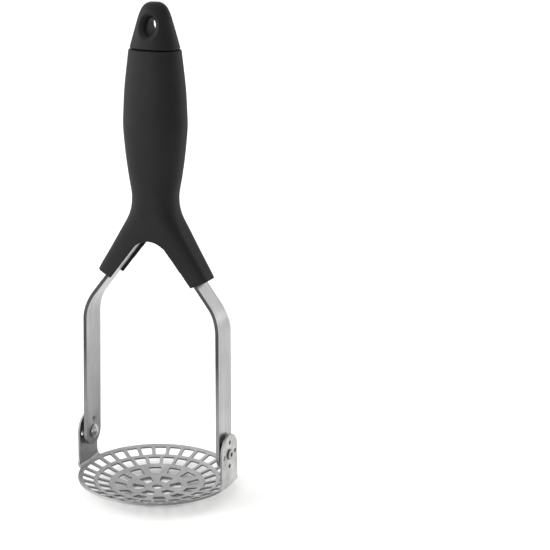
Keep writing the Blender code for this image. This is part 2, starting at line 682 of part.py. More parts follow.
def hanging_hole(cutters):
    """An oval throat through the cap along Y, rounded out to both faces."""
    bm = bmesh.new()
    widest = HANGING_HOLE_FLARE * (1 - cos(HANGING_HOLE_TURN))
    rings = [hole_ring(bm, widest, -CAP_SECTIONS[0][2])]
    mouth_steps = 6
    for step in range(mouth_steps + 1):
        angle = HANGING_HOLE_TURN * (1 - step / mouth_steps)
        spread = HANGING_HOLE_FLARE * (1 - cos(angle))
        rings.append(hole_ring(bm, spread, HANGING_HOLE_FLARE * (sin(HANGING_HOLE_TURN) - sin(angle))))
    for ring in rings[::-1]:
        rings.append([bm.verts.new((vert.co.x, -vert.co.y, vert.co.z)) for vert in ring])
    for front, back in zip(rings, rings[1:]):
        for step in range(HOLE_SEGMENTS):
            following = (step + 1) % HOLE_SEGMENTS
            bm.faces.new((front[step], front[following], back[following], back[step]))
    bm.faces.new(rings[0])
    bm.faces.new(rings[-1])
    return hide_cutter(mesh_object("cut_hanging_hole", bm, cutters))


def build_end_cap(parts, cutters, plastic):
    cap = loft("end_cap", CAP_SECTIONS, CAP_BASE_Z, CAP_STEP, parts)
    spigot = oval_bar("cap_spigot", SPIGOT_HALF_WIDTH, SPIGOT_HALF_DEPTH,
                      CAP_BASE_Z - SPIGOT_LENGTH, CAP_BASE_Z + CAP_STEP, cutters)
    boolean(cap, hide_cutter(spigot), "UNION")
    boolean(cap, hanging_hole(cutters))
    return finish(cap, plastic)


# ---------------------------------------------------------------- assembly

def main():
    clear_scene()
    parts = new_collection("potato_ricer")
    cutters = new_collection("cutters")

    plate_steel = make_material("pressed_steel", (0.60, 0.60, 0.60), 0.32, 1.0)
    arm_steel = make_material("brushed_steel", (0.66, 0.66, 0.66), 0.28, 1.0)
    rivet_steel = make_material("rivet_steel", (0.55, 0.55, 0.56), 0.25, 1.0)
    washer_steel = make_material("washer_steel", (0.45, 0.45, 0.46), 0.35, 1.0)
    grip_plastic = make_material("grip_plastic", (0.028, 0.028, 0.030), 0.5, 0.0)
    cap_plastic = make_material("cap_plastic", (0.026, 0.026, 0.028), 0.45, 0.0)

    hinge = bpy.data.objects.new("plate_hinge", None)
    hinge.location = (0, 0, HINGE_Z)
    parts.objects.link(hinge)

    build_press_plate(parts, cutters, plate_steel, hinge)
    for side_name, side in (("left", -1), ("right", 1)):
        build_arm(side_name, side, parts, cutters, arm_steel)
        build_rivet(side_name, side, parts, rivet_steel)
        build_washer(side_name, side, parts, cutters, washer_steel)
    build_grip(parts, cutters, grip_plastic)
    build_end_cap(parts, cutters, cap_plastic)


main()
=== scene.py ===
import json
from math import acos, asin, cos, pi, radians, sin, sqrt, tan

import bmesh
import bpy
from mathutils import Matrix, Vector


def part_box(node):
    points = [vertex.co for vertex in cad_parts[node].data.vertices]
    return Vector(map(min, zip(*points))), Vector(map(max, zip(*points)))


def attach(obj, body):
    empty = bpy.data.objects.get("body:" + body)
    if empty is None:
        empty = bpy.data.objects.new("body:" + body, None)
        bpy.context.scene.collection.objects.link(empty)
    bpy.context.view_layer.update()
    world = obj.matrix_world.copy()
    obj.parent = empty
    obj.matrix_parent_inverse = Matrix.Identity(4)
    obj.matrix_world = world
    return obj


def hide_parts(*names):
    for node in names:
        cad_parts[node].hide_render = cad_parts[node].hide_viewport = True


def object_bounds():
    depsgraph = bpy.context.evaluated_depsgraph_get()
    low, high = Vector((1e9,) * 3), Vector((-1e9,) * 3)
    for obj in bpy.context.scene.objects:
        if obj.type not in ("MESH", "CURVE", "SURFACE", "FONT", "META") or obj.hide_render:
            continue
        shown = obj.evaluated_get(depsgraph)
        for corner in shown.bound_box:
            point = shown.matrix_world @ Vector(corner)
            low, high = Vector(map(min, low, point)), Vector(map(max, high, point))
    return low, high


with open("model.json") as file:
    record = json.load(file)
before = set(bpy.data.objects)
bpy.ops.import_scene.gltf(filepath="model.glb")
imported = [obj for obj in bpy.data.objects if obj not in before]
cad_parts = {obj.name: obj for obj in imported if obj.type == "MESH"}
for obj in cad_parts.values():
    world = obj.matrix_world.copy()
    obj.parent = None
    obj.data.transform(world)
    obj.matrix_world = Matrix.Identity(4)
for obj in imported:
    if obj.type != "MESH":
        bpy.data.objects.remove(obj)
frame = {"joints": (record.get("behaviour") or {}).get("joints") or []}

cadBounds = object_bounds()
mm = 0.001  # lengths in the settings are in millimetres, and the frame is in metres
hinge = Vector(frame["joints"][0]["pos_m"])  # middle of the hinge line through both rivets
scene = bpy.context.scene
print("frame loaded, hinge at z =", round(hinge.z, 4))


def linearColour(hexCode):
    parts = [int(hexCode[i:i + 2], 16) / 255 for i in (1, 3, 5)]
    return [p / 12.92 if p <= 0.04045 else ((p + 0.055) / 1.055) ** 2.4 for p in parts] + [1.0]


def addNode(tree, kind, settings=None, links=None):
    node = tree.nodes.new(kind)
    for key, value in (settings or {}).items():
        if isinstance(key, int) or key in node.inputs:
            node.inputs[key].default_value = value
        else:
            setattr(node, key, value)
    for socket, source in (links or {}).items():
        tree.links.new(source, node.inputs[socket])
    return node


def newMaterial(name, settings):
    material = bpy.data.materials.new(name)
    material.use_nodes = True
    tree = material.node_tree
    tree.nodes.clear()
    shader = addNode(tree, "ShaderNodeBsdfPrincipled", settings)
    addNode(tree, "ShaderNodeOutputMaterial", links={"Surface": shader.outputs[0]})
    place = addNode(tree, "ShaderNodeTexCoord")
    return material, tree, shader, place.outputs["Object"]


def rangeOf(source, target=(0.0, 1.0)):
    # settings of a map range node
    return dict(zip(("From Min", "From Max", "To Min", "To Max"), (*source, *target)))


def setTones(ramp, look, span=(0.0, 1.0)):
    for element, key, position in zip(ramp.color_ramp.elements, ("dark", "colour"), span):
        element.position, element.color = position, linearColour(look[key])


def connectLook(tree, shader, colour, rough, bump):
    for socket, source in (("Base Color", colour), ("Roughness", rough), ("Normal", bump)):
        tree.links.new(source, shader.inputs[socket])


def mixIn(tree, share, colour, rough, hexCode, roughness):
    # sockets 6 and 7 of the mix node are its two colours, 2 and 3 its two numbers
    mixed = addNode(tree, "ShaderNodeMix", {"data_type": "RGBA", 7: linearColour(hexCode)},
                    {0: share, 6: colour})
    dulled = addNode(tree, "ShaderNodeMix", {3: roughness}, {0: share, 2: rough})
    return mixed.outputs[2], dulled.outputs[0]


def heightShare(tree, place, levels):
    # levels: (height in mm, share) at the low and at the high end of the change
    heights, shares = zip(*levels)
    where = addNode(tree, "ShaderNodeSeparateXYZ", links={0: place})
    return addNode(tree, "ShaderNodeMapRange", rangeOf([h * mm for h in heights], shares),
                   {"Value": where.outputs["Z"]})


innerShadeFacing = (-0.3, -0.7)  # how far a face leans to the middle plane where its inner look starts and is full


def innerShadeShare(tree, place, levels):
    # faces turned to the middle plane get a painted shade, whose strength changes with height
    where, facing = (addNode(tree, "ShaderNodeSeparateXYZ", links={0: source})
                     for source in (place, place.node.outputs["Normal"]))
    side = addNode(tree, "ShaderNodeMath", {"operation": "SIGN"}, {0: where.outputs["X"]})
    inward = addNode(tree, "ShaderNodeMath", {"operation": "MULTIPLY"},
                     {0: side.outputs[0], 1: facing.outputs["X"]})
    turned = addNode(tree, "ShaderNodeMapRange", rangeOf(innerShadeFacing), {"Value": inward.outputs[0]})
    level = heightShare(tree, place, levels)
    return addNode(tree, "ShaderNodeMath", {"operation": "MULTIPLY"},
                   {0: turned.outputs[0], 1: level.outputs[0]})


# Cold-rolled 304 stainless strip, brushed along its length: pale grey with a soft streak
# that runs up the arm, so a highlight spreads across the strip and stays narrow along it.
# Real brush lines are about 0.1 mm apart and are drawn wider here
# The edge colour is painted shade on the sheared edges, and the inner colour is painted shade on the faces
# turned to the middle plane
stripLook = {"colour": "#bdbdbd", "dark": "#888888", "span": (0.3, 0.7), "roughness": (0.24, 0.34),
             "streakMm": 0.7, "streakLengthMm": 60.0, "streakShare": 0.7, "cloudMm": 18.0,
             "bump": 0.12, "bumpMm": 0.03, "edge": "#424243", "edgeRoughness": 0.45,
             "edgeFacing": (0.6, 0.9), "edgeShadeLevels": ((48.0, 0.45), (82.0, 1.0)), "inner": "#5c5c5d",
             "innerRoughness": 0.42, "innerShadeLevels": ((28.0, 0.6), (104.0, 0.04))}


def brushedStripSteel():
    look = stripLook
    material, tree, shader, place = newMaterial("brushedStainlessStrip", {"Metallic": 1.0})
    across, along = 1 / (look["streakMm"] * mm), 1 / (look["streakLengthMm"] * mm)
    stretched = addNode(tree, "ShaderNodeMapping", {"Scale": (along, across, along)}, {"Vector": place})
    streak = addNode(tree, "ShaderNodeTexNoise", {"Scale": 1.0, "Detail": 4.0, "Roughness": 0.6},
                     {"Vector": stretched.outputs[0]})
    cloud = addNode(tree, "ShaderNodeTexNoise", {"Scale": 1 / (look["cloudMm"] * mm), "Detail": 2.0},
                    {"Vector": place})
    streaked = addNode(tree, "ShaderNodeMath", {"operation": "MULTIPLY", 1: look["streakShare"]},
                       {0: streak.outputs["Fac"]})
    blend = addNode(tree, "ShaderNodeMath", {"operation": "MULTIPLY_ADD", 1: 1 - look["streakShare"]},
                    {0: cloud.outputs["Fac"], 2: streaked.outputs[0]})
    tone = addNode(tree, "ShaderNodeValToRGB", links={"Fac": blend.outputs[0]})
    setTones(tone, look, look["span"])
    rough = addNode(tree, "ShaderNodeMapRange", rangeOf(look["span"], look["roughness"]),
                    {"Value": blend.outputs[0]})
    bump = addNode(tree, "ShaderNodeBump", {"Strength": look["bump"], "Distance": look["bumpMm"] * mm},
                   {"Height": streak.outputs["Fac"]})
    # the sheared edges face along Y; they are duller than the rolled faces, and their darker colour is
    # painted shade
    facing = addNode(tree, "ShaderNodeSeparateXYZ", links={0: place.node.outputs["Normal"]})
    sideways = addNode(tree, "ShaderNodeMath", {"operation": "ABSOLUTE"}, {0: facing.outputs["Y"]})
    sheared = addNode(tree, "ShaderNodeMapRange", rangeOf(look["edgeFacing"]),
                      {"Value": sideways.outputs[0]})
    # the painted shade on the edge is lighter down by the hinge
    edgeShadeLevel = heightShare(tree, place, look["edgeShadeLevels"])
    edge = addNode(tree, "ShaderNodeMath", {"operation": "MULTIPLY"},
                   {0: sheared.outputs[0], 1: edgeShadeLevel.outputs[0]})
    # painted shade on the faces turned to the middle plane, strongest down by the hinge
    inner = innerShadeShare(tree, place, look["innerShadeLevels"])
    colour, dulled = mixIn(tree, inner.outputs[0], tone.outputs[0], rough.outputs[0], look["inner"],
                           look["innerRoughness"])
    edged, dulled = mixIn(tree, edge.outputs[0], colour, dulled, look["edge"], look["edgeRoughness"])
    connectLook(tree, shader, edged, dulled, bump.outputs[0])
    return material


# Deep-drawn 304 stainless sheet, tumble-polished: mid grey, cloudy, with a fine orange peel
# where the press has stretched it, so reflections are broad and soft
# The edge colour is painted shade on the punched walls, the inner colour painted shade on the tabs' inner
# faces, and the dish colour painted shade over the dish
sheetLook = {"colour": "#cacac9", "dark": "#989897", "span": (0.35, 0.65), "roughness": (0.30, 0.42),
             "peelMm": 0.8, "peelShare": 0.5, "cloudMm": 9.0, "bump": 0.15, "bumpMm": 0.02,
             "edge": "#7c7c7d", "edgeRoughness": 0.45, "edgeFacing": (0.7, 0.4), "tabFromMm": 42.7,
             "inner": "#6a6a6b", "innerRoughness": 0.45, "innerShadeLevels": ((12.0, 0.45), (40.0, 0.65)),
             "dish": "#8a8a8a", "dishShadeShare": 0.6, "dishRoughness": 0.4}


def pressedSheetSteel():
    look = sheetLook
    material, tree, shader, place = newMaterial("pressedStainlessSheet", {"Metallic": 1.0})
    peel, cloud = (addNode(tree, "ShaderNodeTexNoise", {"Scale": 1 / (look[size] * mm), "Detail": 3.0},
                           {"Vector": place}) for size in ("peelMm", "cloudMm"))
    clouded = addNode(tree, "ShaderNodeMath", {"operation": "MULTIPLY", 1: 1 - look["peelShare"]},
                      {0: cloud.outputs["Fac"]})
    both = addNode(tree, "ShaderNodeMath", {"operation": "MULTIPLY_ADD", 1: look["peelShare"]},
                   {0: peel.outputs["Fac"], 2: clouded.outputs[0]})
    tone = addNode(tree, "ShaderNodeValToRGB", links={"Fac": both.outputs[0]})
    setTones(tone, look, look["span"])
    rough = addNode(tree, "ShaderNodeMapRange", rangeOf(look["span"], look["roughness"][::-1]),
                    {"Value": both.outputs[0]})
    bump = addNode(tree, "ShaderNodeBump", {"Strength": look["bump"], "Distance": look["bumpMm"] * mm},
                   {"Height": peel.outputs["Fac"]})
    # a punched wall faces along the sheet: neither to the dish's centre of curvature nor, in a tab, along X.
    # These walls get a painted shade
    normal = place.node.outputs["Normal"]
    toCentre = addNode(tree, "ShaderNodeVectorMath", {"operation": "SUBTRACT", 0: (0, 0, dishCentreZ)},
                       {1: place})
    across = addNode(tree, "ShaderNodeVectorMath", {"operation": "NORMALIZE"}, {0: toCentre.outputs[0]})
    inDish = addNode(tree, "ShaderNodeVectorMath", {"operation": "DOT_PRODUCT"},
                     {0: across.outputs[0], 1: normal})
    dishFace = addNode(tree, "ShaderNodeMath", {"operation": "ABSOLUTE"}, {0: inDish.outputs["Value"]})
    where, facing = (addNode(tree, "ShaderNodeSeparateXYZ", links={0: source})
                     for source in (place, normal))
    off = addNode(tree, "ShaderNodeMath", {"operation": "ABSOLUTE"}, {0: where.outputs["X"]})
    tab = addNode(tree, "ShaderNodeMath", {"operation": "GREATER_THAN", 1: look["tabFromMm"] * mm},
                  {0: off.outputs[0]})
    sideways = addNode(tree, "ShaderNodeMath", {"operation": "ABSOLUTE"}, {0: facing.outputs["X"]})
    tabFace = addNode(tree, "ShaderNodeMath", {"operation": "MULTIPLY"},
                      {0: sideways.outputs[0], 1: tab.outputs[0]})
    face = addNode(tree, "ShaderNodeMath", {"operation": "MAXIMUM"},
                   {0: dishFace.outputs[0], 1: tabFace.outputs[0]})
    punched = addNode(tree, "ShaderNodeMapRange", rangeOf(look["edgeFacing"]),
                      {"Value": face.outputs[0]})
    # painted shade on the inner faces of the tabs
    inner = innerShadeShare(tree, place, look["innerShadeLevels"])
    inTab = addNode(tree, "ShaderNodeMath", {"operation": "MULTIPLY"},
                    {0: inner.outputs[0], 1: tab.outputs[0]})
    colour, dulled = mixIn(tree, inTab.outputs[0], tone.outputs[0], rough.outputs[0], look["inner"],
                           look["innerRoughness"])
    # a painted shade darkens the dish, and not the tabs
    dishShade = addNode(tree, "ShaderNodeMapRange", rangeOf((0.0, 1.0), (look["dishShadeShare"], 0.0)),
                   {"Value": tab.outputs[0]})
    colour, dulled = mixIn(tree, dishShade.outputs[0], colour, dulled, look["dish"], look["dishRoughness"])
    # painted shade on the punched walls
    edged, dulled = mixIn(tree, punched.outputs[0], colour, dulled, look["edge"], look["edgeRoughness"])
    connectLook(tree, shader, edged, dulled, bump.outputs[0])
    return material


# Cold-headed steel rivet with a nickel flash: brighter and smoother than the strip, with faint
# rings left by the die round the hinge line
turnedLook = {"rivetSteel": {"colour": "#b4b4b6", "dark": "#8f8f92", "roughness": (0.15, 0.3),
                             "ringMm": 0.35, "bump": 0.2, "bumpMm": 0.02},
              "washerSteel": {"colour": "#9c9c9e", "dark": "#828285", "roughness": (0.27, 0.42),
                              "ringMm": 0.25, "bump": 0.2, "bumpMm": 0.02}}


def turnedSteel(name, key):
    look = turnedLook[key]
    material, tree, shader, place = newMaterial(name, {"Metallic": 1.0})
    parts = addNode(tree, "ShaderNodeSeparateXYZ", links={0: place})
    fromHinge = addNode(tree, "ShaderNodeMath", {"operation": "SUBTRACT", 1: hinge.z},
                        {0: parts.outputs["Z"]})
    offAxis = addNode(tree, "ShaderNodeCombineXYZ",
                      links={"Y": parts.outputs["Y"], "Z": fromHinge.outputs[0]})
    radius = addNode(tree, "ShaderNodeVectorMath", {"operation": "LENGTH"}, {0: offAxis.outputs[0]})
    ringPlace = addNode(tree, "ShaderNodeCombineXYZ", links={"X": radius.outputs["Value"]})
    rings = addNode(tree, "ShaderNodeTexNoise", {"Scale": 1 / (look["ringMm"] * mm), "Detail": 2.0},
                    {"Vector": ringPlace.outputs[0]})
    tone = addNode(tree, "ShaderNodeValToRGB", links={"Fac": rings.outputs["Fac"]})
    setTones(tone, look)
    rough = addNode(tree, "ShaderNodeMapRange", rangeOf((0.0, 1.0), look["roughness"]),
                    {"Value": rings.outputs["Fac"]})
    bump = addNode(tree, "ShaderNodeBump", {"Strength": look["bump"], "Distance": look["bumpMm"] * mm},
                   {"Height": rings.outputs["Fac"]})
    connectLook(tree, shader, tone.outputs[0], rough.outputs[0], bump.outputs[0])
    return material


# Black polypropylene, injection moulded in a spark-eroded mould: a fine even grain that breaks
# up the light into a soft grey sheen; the cap's mould is a little smoother than the grip's
plasticLook = {"grip": {"colour": "#18181a", "dark": "#131314", "roughness": (0.5, 0.62),
                        "grainMm": 0.5, "bump": 0.25},
               "cap": {"colour": "#161617", "dark": "#111112", "roughness": (0.46, 0.58),
                       "grainMm": 0.45, "bump": 0.18},
               "both": {"span": (0.35, 0.65), "grainSpan": (0.0, 0.8), "grainSmoothness": 0.6,
                        "fineMm": 0.25, "fineShare": 0.4, "flowMm": 22.0, "bumpMm": 0.06,
                        "index": 1.49, "specular": 0.15}}


def mouldedPlastic(name, key):
    look = {**plasticLook["both"], **plasticLook[key]}
    material, tree, shader, place = newMaterial(name, {"IOR": look["index"],
                                                       "Specular IOR Level": look["specular"]})
    grain = addNode(tree, "ShaderNodeTexVoronoi",
                    {"feature": "SMOOTH_F1", "Scale": 1 / (look["grainMm"] * mm),
                     "Smoothness": look["grainSmoothness"]}, {"Vector": place})
    fine, flow = (addNode(tree, "ShaderNodeTexNoise", {"Scale": 1 / (look[size] * mm), "Detail": detail},
                          {"Vector": place}) for size, detail in (("fineMm", 2.0), ("flowMm", 3.0)))
    height = addNode(tree, "ShaderNodeMath", {"operation": "MULTIPLY_ADD", 1: look["fineShare"]},
                     {0: fine.outputs["Fac"], 2: grain.outputs["Distance"]})
    tone = addNode(tree, "ShaderNodeValToRGB", links={"Fac": flow.outputs["Fac"]})
    setTones(tone, look, look["span"])
    rough = addNode(tree, "ShaderNodeMapRange", rangeOf(look["grainSpan"], look["roughness"]),
                    {"Value": grain.outputs["Distance"]})
    bump = addNode(tree, "ShaderNodeBump", {"Strength": look["bump"], "Distance": look["bumpMm"] * mm},
                   {"Height": height.outputs[0]})
    connectLook(tree, shader, tone.outputs[0], rough.outputs[0], bump.outputs[0])
    return material


# Matt white painted board under the object
floorLook = {"colour": "#fcfcfb", "dark": "#f8f8f7", "speckMm": 25.0, "size": 80.0, "dropMm": 0.2}


def paintedBoard():
    material, tree, shader, place = newMaterial("mattWhiteBoard", {"Roughness": 0.9, "IOR": 1.45})
    speck = addNode(tree, "ShaderNodeTexNoise", {"Scale": 1 / (floorLook["speckMm"] * mm), "Detail": 2.0},
                    {"Vector": place})
    tone = addNode(tree, "ShaderNodeValToRGB", links={"Fac": speck.outputs["Fac"]})
    setTones(tone, floorLook)
    tree.links.new(tone.outputs[0], shader.inputs["Base Color"])
    return material


stripSteel = brushedStripSteel()
rivetSteel = turnedSteel("nickelFlashedRivet", "rivetSteel")
washerSteel = turnedSteel("plainSteelWasher", "washerSteel")
gripPlastic = mouldedPlastic("sparkErodedPolypropylene", "grip")
capPlastic = mouldedPlastic("satinPolypropylene", "cap")
print("materials made")


def meshObject(name, bm):
    mesh = bpy.data.meshes.new(name)
    bm.to_mesh(mesh)
    bm.free()
    item = bpy.data.objects.new(name, mesh)
    scene.collection.objects.link(item)
    return item


def newPiece(name, bm, material, body, node):
    piece = meshObject(name, bm)
    piece.data.materials.append(material)
    piece.data.shade_smooth()
    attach(piece, body)
    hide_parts(node)
    return piece


def faceOut(bm, outward):
    bmesh.ops.recalc_face_normals(bm, faces=bm.faces)
    lean = sum((f.normal.dot(outward(f.calc_center_median())) * f.calc_area() for f in bm.faces), 0.0)
    if lean < 0:
        bmesh.ops.reverse_faces(bm, faces=bm.faces)


def addSheet(piece, thickness, edge):
    sheet = piece.modifiers.new("sheet", "SOLIDIFY")
    sheet.thickness, sheet.offset, sheet.use_even_offset = thickness, -1.0, True
    soft = piece.modifiers.new("edge", "BEVEL")
    soft.width, soft.segments, soft.limit_method, soft.angle_limit = edge, 2, "ANGLE", radians(45)
    soft.harden_normals = True


def ringOf(bm, centre, radius, count, plane):
    return [bm.verts.new(plane(centre[0] + radius * cos(2 * pi * i / count),
                               centre[1] + radius * sin(2 * pi * i / count))) for i in range(count)]


def loopEdges(bm, verts):
    return [bm.edges.get(p) or bm.edges.new(p) for p in zip(verts, verts[1:] + verts[:1])]


def bridge(bm, lower, upper, closed=True):
    count = len(lower)
    for i in range(count if closed else count - 1):
        j = (i + 1) % count
        bm.faces.new((lower[i], lower[j], upper[j], upper[i]))


def skinRings(bm, rings):
    for lower, upper in zip(rings, rings[1:]):
        bridge(bm, lower, upper)
    bm.faces.new(rings[0])
    bm.faces.new(rings[-1])


# Press plate: one sheet, dished, with rings of radial-sided holes and two tabs folded up
plate = {"rim": 44.0, "depth": 8.7, "sheet": 1.2, "edge": 0.16, "around": 240, "sideSteps": 8,
         "rings": ((6, 10.4, 6.0), (12, 20.4, 6.4), (24, 30.0, 6.1), (30, 38.5, 6.0)),
         "borders": (5.0, 15.4, 25.2, 34.25, 42.2), "holeLength": 6.3, "corner": 0.7, "centreHole": 2.8,
         "tabWidth": 20.0, "tabBase": 22.6, "foldRadius": 2.0, "foldShare": 0.4, "foldSteps": 8,
         "flare": 4.5, "flareSteps": 4, "tabTop": 1.5, "archSteps": 32, "rivetHole": 2.3,
         "rivetAround": 28, "catchHole": 1.25, "catchAround": 18, "catchAt": 6.9, "foldSlack": 0.005,
         "merge": 0.004}
dishRadius = (plate["rim"] ** 2 + plate["depth"] ** 2) / (2 * plate["depth"])
dishCentreZ = (plate["sheet"] + dishRadius) * mm
foldAt = sqrt(plate["rim"] ** 2 - (plate["tabBase"] / 2) ** 2)
sheetSteel = pressedSheetSteel()


def dishPoint(radius, angle):
    z = plate["sheet"] + dishRadius - sqrt(dishRadius ** 2 - radius ** 2)
    return Vector((radius * cos(angle), radius * sin(angle), z)) * mm


def holeCell(bm, middle, halfAngle, inner, outer, radius, width):
    # a frame of quads between one cell's border and its rounded hole
    arcSteps, sideSteps = round(halfAngle * 2 / (2 * pi / plate["around"])), plate["sideSteps"]
    walk = [(-1 + 2 * i / arcSteps, -1) for i in range(arcSteps)]
    walk += [(1, -1 + 2 * i / sideSteps) for i in range(sideSteps)]
    walk += [(1 - 2 * i / arcSteps, 1) for i in range(arcSteps)]
    walk += [(-1, 1 - 2 * i / sideSteps) for i in range(sideSteps)]
    border, hole = [], []
    halfWide, halfLong, corner = width / 2, plate["holeLength"] / 2, plate["corner"]
    for u, v in walk:
        borderRadius = (inner + outer) / 2 + v * (outer - inner) / 2
        border.append(bm.verts.new(dishPoint(borderRadius, middle + u * halfAngle)))
        x, y = u * halfWide, v * halfLong
        overX, overY = abs(x) - (halfWide - corner), abs(y) - (halfLong - corner)
        if overX > 0 and overY > 0:
            reach = corner / sqrt(overX ** 2 + overY ** 2)
            x = (halfWide - corner + overX * reach) * (1 if x > 0 else -1)
            y = (halfLong - corner + overY * reach) * (1 if y > 0 else -1)
        hole.append(bm.verts.new(dishPoint(radius + y, middle + x / radius)))
    bridge(bm, border, hole)


def circlePlaces(radius):
    return [dishPoint(radius, 2 * pi * i / plate["around"]) for i in range(plate["around"])]


def rimPlaces():
    # the rim is round, and straight along the two fold lines
    foldAngle = asin(plate["tabBase"] / 2 / plate["rim"])
    places = []
    for i in range(plate["around"]):
        angle = 2 * pi * i / plate["around"]
        fromX = min(angle % pi, pi - angle % pi)
        if fromX <= foldAngle + plate["foldSlack"]:
            side = 1 if cos(angle) > 0 else -1
            y = plate["rim"] * sin(angle)
            point = dishPoint(sqrt(foldAt ** 2 + y ** 2), 0)
            places.append(Vector((side * foldAt * mm, y * mm, point.z)))
        else:
            places.append(dishPoint(plate["rim"], angle))
    return places


def addBand(bm, lower, upper):
    bridge(bm, *[[bm.verts.new(p) for p in places] for places in (lower, upper)])


def raiseTab(bm, side):
    foldX, foldRadius = foldAt * mm, plate["foldRadius"] * mm
    slope = asin(foldAt / dishRadius)
    innerX = foldX + foldRadius * (1 - sin(slope))
    rimZ = (plate["depth"] + plate["sheet"]) * mm
    base = [p for p in rimPlaces() if abs(p.x - side * foldX) < 1e-7]
    base.sort(key=lambda p: p.y)
    columns, foldSteps, flareSteps = len(base) - 1, plate["foldSteps"], plate["flareSteps"]
    narrowing = plate["foldShare"] * (plate["tabBase"] - plate["tabWidth"])
    rows = [base]
    for step in range(1, foldSteps + 1):
        angle = slope + (pi / 2 - slope) * step / foldSteps
        x = foldX + foldRadius * (sin(angle) - sin(slope))
        rise = foldRadius * (cos(slope) - cos(angle))
        width = plate["tabBase"] - narrowing * step / foldSteps
        rows.append([Vector((side * x, (i / columns - 0.5) * width * mm, p.z + rise))
                     for i, p in enumerate(base)])
    startWidth = plate["tabBase"] - narrowing
    for step in range(1, flareSteps + 1):
        share = step / flareSteps
        ease = share * (2 - share)
        width = startWidth + (plate["tabWidth"] - startWidth) * ease
        z = rimZ + plate["flare"] * mm
        rows.append([Vector((side * innerX, (i / columns - 0.5) * width * mm, p.z + (z - p.z) * share))
                     for i, p in enumerate(rows[foldSteps])])
    made = [[bm.verts.new(p) for p in row] for row in rows]
    for lower, upper in zip(made, made[1:]):
        bridge(bm, lower, upper, False)
    half, topZ = plate["tabWidth"] / 2 * mm, hinge.z + plate["tabTop"] * mm

    def spot(y, z):
        return Vector((side * innerX, y, z))

    angles = [pi * i / plate["archSteps"] for i in range(plate["archSteps"] + 1)]
    arch = [bm.verts.new(spot(half * cos(a), topZ + half * sin(a))) for a in angles]
    edges = loopEdges(bm, made[-1] + arch)
    edges += loopEdges(bm, ringOf(bm, (0, hinge.z), plate["rivetHole"] * mm, plate["rivetAround"], spot))
    catchAt = plate["catchAt"] * mm
    for turn in range(4):
        at = (catchAt * cos(pi / 2 * turn), hinge.z + catchAt * sin(pi / 2 * turn))
        edges += loopEdges(bm, ringOf(bm, at, plate["catchHole"] * mm, plate["catchAround"], spot))
    bmesh.ops.triangle_fill(bm, use_beauty=True, edges=edges, normal=(side, 0, 0))


def buildPlate():
    bm = bmesh.new()
    borders = plate["borders"]
    addBand(bm, circlePlaces(plate["centreHole"]), circlePlaces(borders[0]))
    for (count, radius, width), inner, outer in zip(plate["rings"], borders, borders[1:]):
        for step in range(count):
            holeCell(bm, pi / 2 + 2 * pi * step / count, pi / count, inner, outer, radius, width)
    addBand(bm, circlePlaces(borders[-1]), rimPlaces())
    for side in (1, -1):
        raiseTab(bm, side)
    bmesh.ops.remove_doubles(bm, verts=bm.verts, dist=plate["merge"] * mm)
    # the modelled face is the inner one, which looks up and to the middle
    faceOut(bm, lambda at: Vector((-at.x, -at.y, plate["rim"] * mm)))
    piece = newPiece("pressPlateSheet", bm, sheetSteel, "plate", "press_plate")
    addSheet(piece, plate["sheet"] * mm, plate["edge"] * mm)


buildPlate()
print("press plate made")


# Arms: one strip each, with a rounded foot, a pressed catch dimple and two bends
arm = {"thickness": 2.0, "width": 16.0, "tangWidth": 13.0, "splay": 0.75, "bendAt": 77.2,
       "bendRadius": 24.0, "bendSteps": 20, "slant": 37.6, "tangRadius": 7.0, "tangSteps": 10,
       "tangFrom": 2.6, "tangTop": 158.0, "footSteps": 32, "edge": 0.28, "rivetHole": 2.3,
       "rivetAround": 28, "dimpleAt": 6.9, "dimpleRadius": 2.2, "dimpleHeight": 1.1,
       "dimpleAround": 24, "dimpleSteps": 7, "columns": 12}
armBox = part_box("right_arm")
armOuterX = armBox[1][0] - (arm["dimpleHeight"] - arm["dimpleAt"] * tan(radians(arm["splay"]))) * mm
armInnerX = armOuterX - arm["thickness"] * mm


def roundedCorner(before, corner, after, radius, steps):
    into, out = (corner - before).normalized(), (after - corner).normalized()
    turn = acos(max(-1.0, min(1.0, into.dot(out))))
    start = corner - into * radius * tan(turn / 2)
    across = Vector((-into.y, into.x))
    if across.dot(out) < 0:
        across = -across
    centre = start + across * radius
    return [centre - across * radius * cos(turn * i / steps) + into * radius * sin(turn * i / steps)
            for i in range(steps + 1)]


def stripCorners():
    # inner face of the +X strip in the XZ plane: foot, lower bend, upper bend, top
    splay, foot = tan(radians(arm["splay"])), arm["width"] / 2 * mm
    bend = Vector((armInnerX - arm["bendAt"] * mm * splay, hinge.z + arm["bendAt"] * mm))
    upperZ = bend.y + (bend.x - arm["tangFrom"] * mm) / tan(radians(arm["slant"]))
    return (Vector((armInnerX + foot * splay, hinge.z - foot)), bend,
            Vector((arm["tangFrom"] * mm, upperZ)),
            Vector((arm["tangFrom"] * mm, hinge.z + arm["tangTop"] * mm)))


